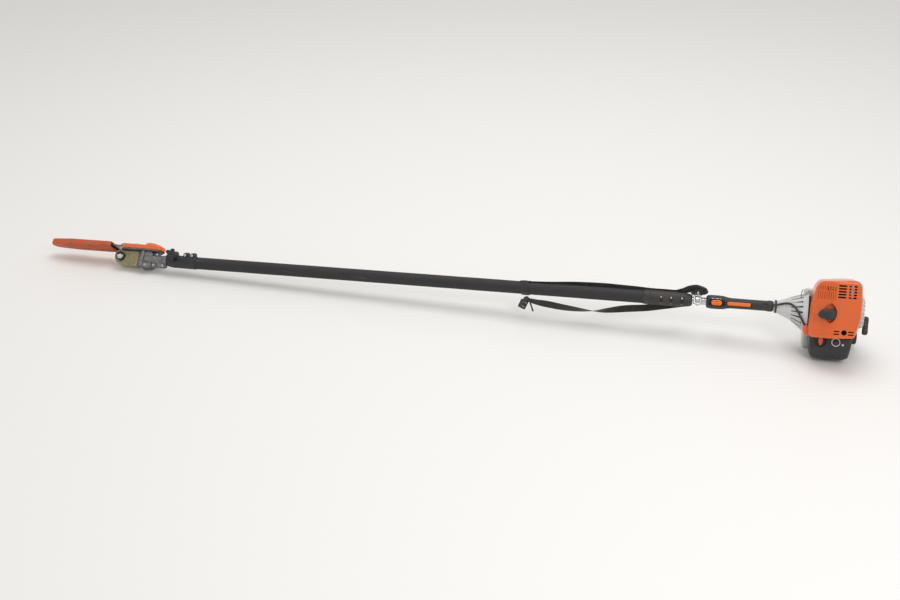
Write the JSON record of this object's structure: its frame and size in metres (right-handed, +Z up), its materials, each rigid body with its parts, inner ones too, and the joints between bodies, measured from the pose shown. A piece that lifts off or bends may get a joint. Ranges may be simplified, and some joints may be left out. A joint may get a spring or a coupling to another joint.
{
  "type": "telescoping pole saw",
  "caption": "Petrol telescoping pole saw lying on its side: cutting head with guarded bar, foam-covered telescoping tube, control handle, carrying strap and engine.",
  "frame": {"origin": "centre of the box's base, on the floor that the saw lies on", "axes": "+X along the pole from the cutting head to the engine, +Z up from the floor"},
  "size_m": [3.0116, 0.2776, 0.2996],
  "materials": {
    "orange_plastic": "satin moulded orange",
    "cover_plastic": "glossy orange",
    "guard_plastic": "worn red-orange, dusty",
    "black_plastic": "matt moulded black",
    "handle": "soft black grip",
    "foam_hose": "dusty closed-cell hose",
    "rubber": "smooth black rubber",
    "housing": "satin pale grey",
    "casting": "as-cast grey",
    "aluminium": "drawn tube",
    "steel": "bright zinc or ground steel",
    "oil_tank": "translucent olive, oily",
    "fuel_tank": "translucent white",
    "webbing": "woven black polyester",
    "filter_foam": "open-cell filter foam"
  },
  "bodies": {
    "powerhead": {"outer_tube": "aluminium", "foam_hose": "foam_hose", "front_clamp": "black_plastic", "tube_joiner": "black_plastic", "drive_tube": "aluminium", "clutch_housing": "housing", "crankcase": "casting", "cylinder": "casting", "piston_and_rod": "aluminium", "spark_plug": "steel", "spark_plug_boot": "rubber", "muffler": "steel", "carburetor": "casting", "air_filter": "filter_foam", "engine_shroud": "orange_plastic", "filter_cover": "black_plastic", "fuel_tank": "fuel_tank", "starter_housing": "housing", "rewind_spring": "steel", "handle_right_shell": "handle", "handle_left_shell": "handle", "throttle_cable": "rubber", "carrying_eyelet": "steel", "strap_upper": "webbing", "strap_lower": "webbing", "strap_buckle": "black_plastic", "snap_hook": "steel"},
    "clamp_knob": {"star_knob": "black_plastic"},
    "stop_switch": {"slide_switch": "orange_plastic"},
    "lockout": {"throttle_lockout": "orange_plastic"},
    "trigger": {"throttle_trigger": "black_plastic"},
    "carburetor_lever": {"throttle_lever": "steel"},
    "choke": {"choke_lever": "orange_plastic"},
    "primer": {"primer_bulb": "rubber"},
    "tank_cap": {"fuel_cap": "black_plastic"},
    "pull_grip": {"starter_grip": "black_plastic"},
    "pulley": {"starter_pulley": "black_plastic", "starter_rope": "webbing"},
    "crank": {"crankshaft": "steel", "flywheel": "casting", "clutch_shoes": "steel"},
    "drive": {"drive_shaft": "steel", "clutch_drum": "steel"},
    "hook_gate": {"snap_hook_gate": "steel"},
    "cutting_head": {"inner_tube": "aluminium", "inner_tube_guide": "black_plastic", "gear_housing": "casting", "oil_tank": "oil_tank", "sprocket_cover": "cover_plastic", "bar_nut": "steel", "guide_bar": "steel", "saw_chain": "steel", "output_bearing": "steel"},
    "head_drive": {"head_shaft": "steel"},
    "sprocket": {"output_shaft": "steel", "bevel_gear": "steel", "drive_sprocket": "steel"},
    "oil_filler_cap": {"oil_cap": "black_plastic"},
    "guard": {"chain_guard": "guard_plastic"}
  },
  "joints": [
    {"name": "telescope", "type": "slide", "parent": "powerhead", "child": "cutting_head", "axis": [-0.9991, 0, -0.0424], "range_m": [0, 1.2]},
    {"name": "clamp_knob_turn", "type": "hinge", "parent": "powerhead", "child": "clamp_knob", "pos_m": [-0.97699, -0.00775, 0.08712], "axis": [-0.0166, -0.9205, 0.3904], "range_deg": [0, 360]},
    {"name": "stop_switch_slide", "type": "slide", "parent": "powerhead", "child": "stop_switch", "axis": [0.9991, 0, 0.0424], "range_m": [-0.006, 0.006]},
    {"name": "lockout_press", "type": "hinge", "parent": "powerhead", "child": "lockout", "pos_m": [1.05445, -0.00903, 0.14342], "axis": [-0.039, 0.3907, 0.9197], "range_deg": [0, 4], "stiffness_Nm_per_rad": 0.8, "springref_deg": -2.86},
    {"name": "trigger_pull", "type": "hinge", "parent": "powerhead", "child": "trigger", "pos_m": [0.99916, 0.02779, 0.12543], "axis": [0.039, -0.3907, -0.9197], "range_deg": [0, 10], "stiffness_Nm_per_rad": 0.8, "springref_deg": -2.86},
    {"name": "throttle_lever_turn", "type": "hinge", "parent": "powerhead", "child": "carburetor_lever", "pos_m": [1.37782, -0.06502, 0.11787], "axis": [-0.0166, -0.9205, 0.3904], "range_deg": [-30, 0]},
    {"name": "choke_turn", "type": "hinge", "parent": "powerhead", "child": "choke", "pos_m": [1.35628, -0.07483, 0.08306], "axis": [-0.0166, -0.9205, 0.3904], "range_deg": [-40, 0]},
    {"name": "primer_press", "type": "slide", "parent": "powerhead", "child": "primer", "axis": [0.0166, 0.9205, -0.3904], "range_m": [0, 0.003], "stiffness_N_per_m": 400, "springref_m": -0.0005},
    {"name": "fuel_cap_turn", "type": "hinge", "parent": "powerhead", "child": "tank_cap", "pos_m": [1.4723, 0.05062, 0.03795], "axis": [0.9991, 0, 0.0424], "range_deg": [0, 360]},
    {"name": "starter_pull", "type": "slide", "parent": "powerhead", "child": "pull_grip", "axis": [0.9991, 0, 0.0424], "range_m": [0, 0.8], "stiffness_N_per_m": 6, "springref_m": -0.3},
    {"name": "pulley_turn", "type": "hinge", "parent": "powerhead", "child": "pulley", "pos_m": [1.45244, 0.0103, 0.1521], "axis": [0.9991, 0, 0.0424], "range_deg": [0, 1400]},
    {"name": "crank_spin", "type": "hinge", "parent": "powerhead", "child": "crank", "pos_m": [1.35253, 0.0103, 0.14786], "axis": [0.9991, 0, 0.0424], "continuous": true},
    {"name": "drive_spin", "type": "hinge", "parent": "powerhead", "child": "drive", "pos_m": [0.29348, 0.0103, 0.10292], "axis": [0.9991, 0, 0.0424], "continuous": true},
    {"name": "hook_gate_turn", "type": "hinge", "parent": "powerhead", "child": "hook_gate", "pos_m": [0.96535, -0.01395, 0.14373], "axis": [-0.0399, -0.3396, 0.9397], "range_deg": [0, 15], "stiffness_Nm_per_rad": 0.05, "springref_deg": -5.73},
    {"name": "head_shaft_spin", "type": "hinge", "parent": "cutting_head", "child": "head_drive", "pos_m": [-0.20607, 0.0103, 0.08172], "axis": [0.9991, 0, 0.0424], "continuous": true},
    {"name": "sprocket_spin", "type": "hinge", "parent": "cutting_head", "child": "sprocket", "pos_m": [-1.09727, 0.0103, 0.0439], "axis": [-0.0297, 0.7133, 0.7003], "continuous": true},
    {"name": "oil_cap_turn", "type": "hinge", "parent": "cutting_head", "child": "oil_filler_cap", "pos_m": [-1.19291, -0.00652, 0.05697], "axis": [-0.0302, -0.7009, 0.7126], "range_deg": [0, 360]},
    {"name": "guard_pull", "type": "slide", "parent": "cutting_head", "child": "guard", "axis": [-0.9991, 0, -0.0424], "range_m": [0, 0.3]}
  ],
  "couplings": [
    {"joint": "throttle_lever_turn", "follows": "trigger_pull", "ratio": -3},
    {"joint": "pulley_turn", "follows": "starter_pull", "rad_per_m": 29.24},
    {"joint": "head_shaft_spin", "follows": "drive_spin", "ratio": 1},
    {"joint": "sprocket_spin", "follows": "drive_spin", "ratio": -0.6875}
  ]
}
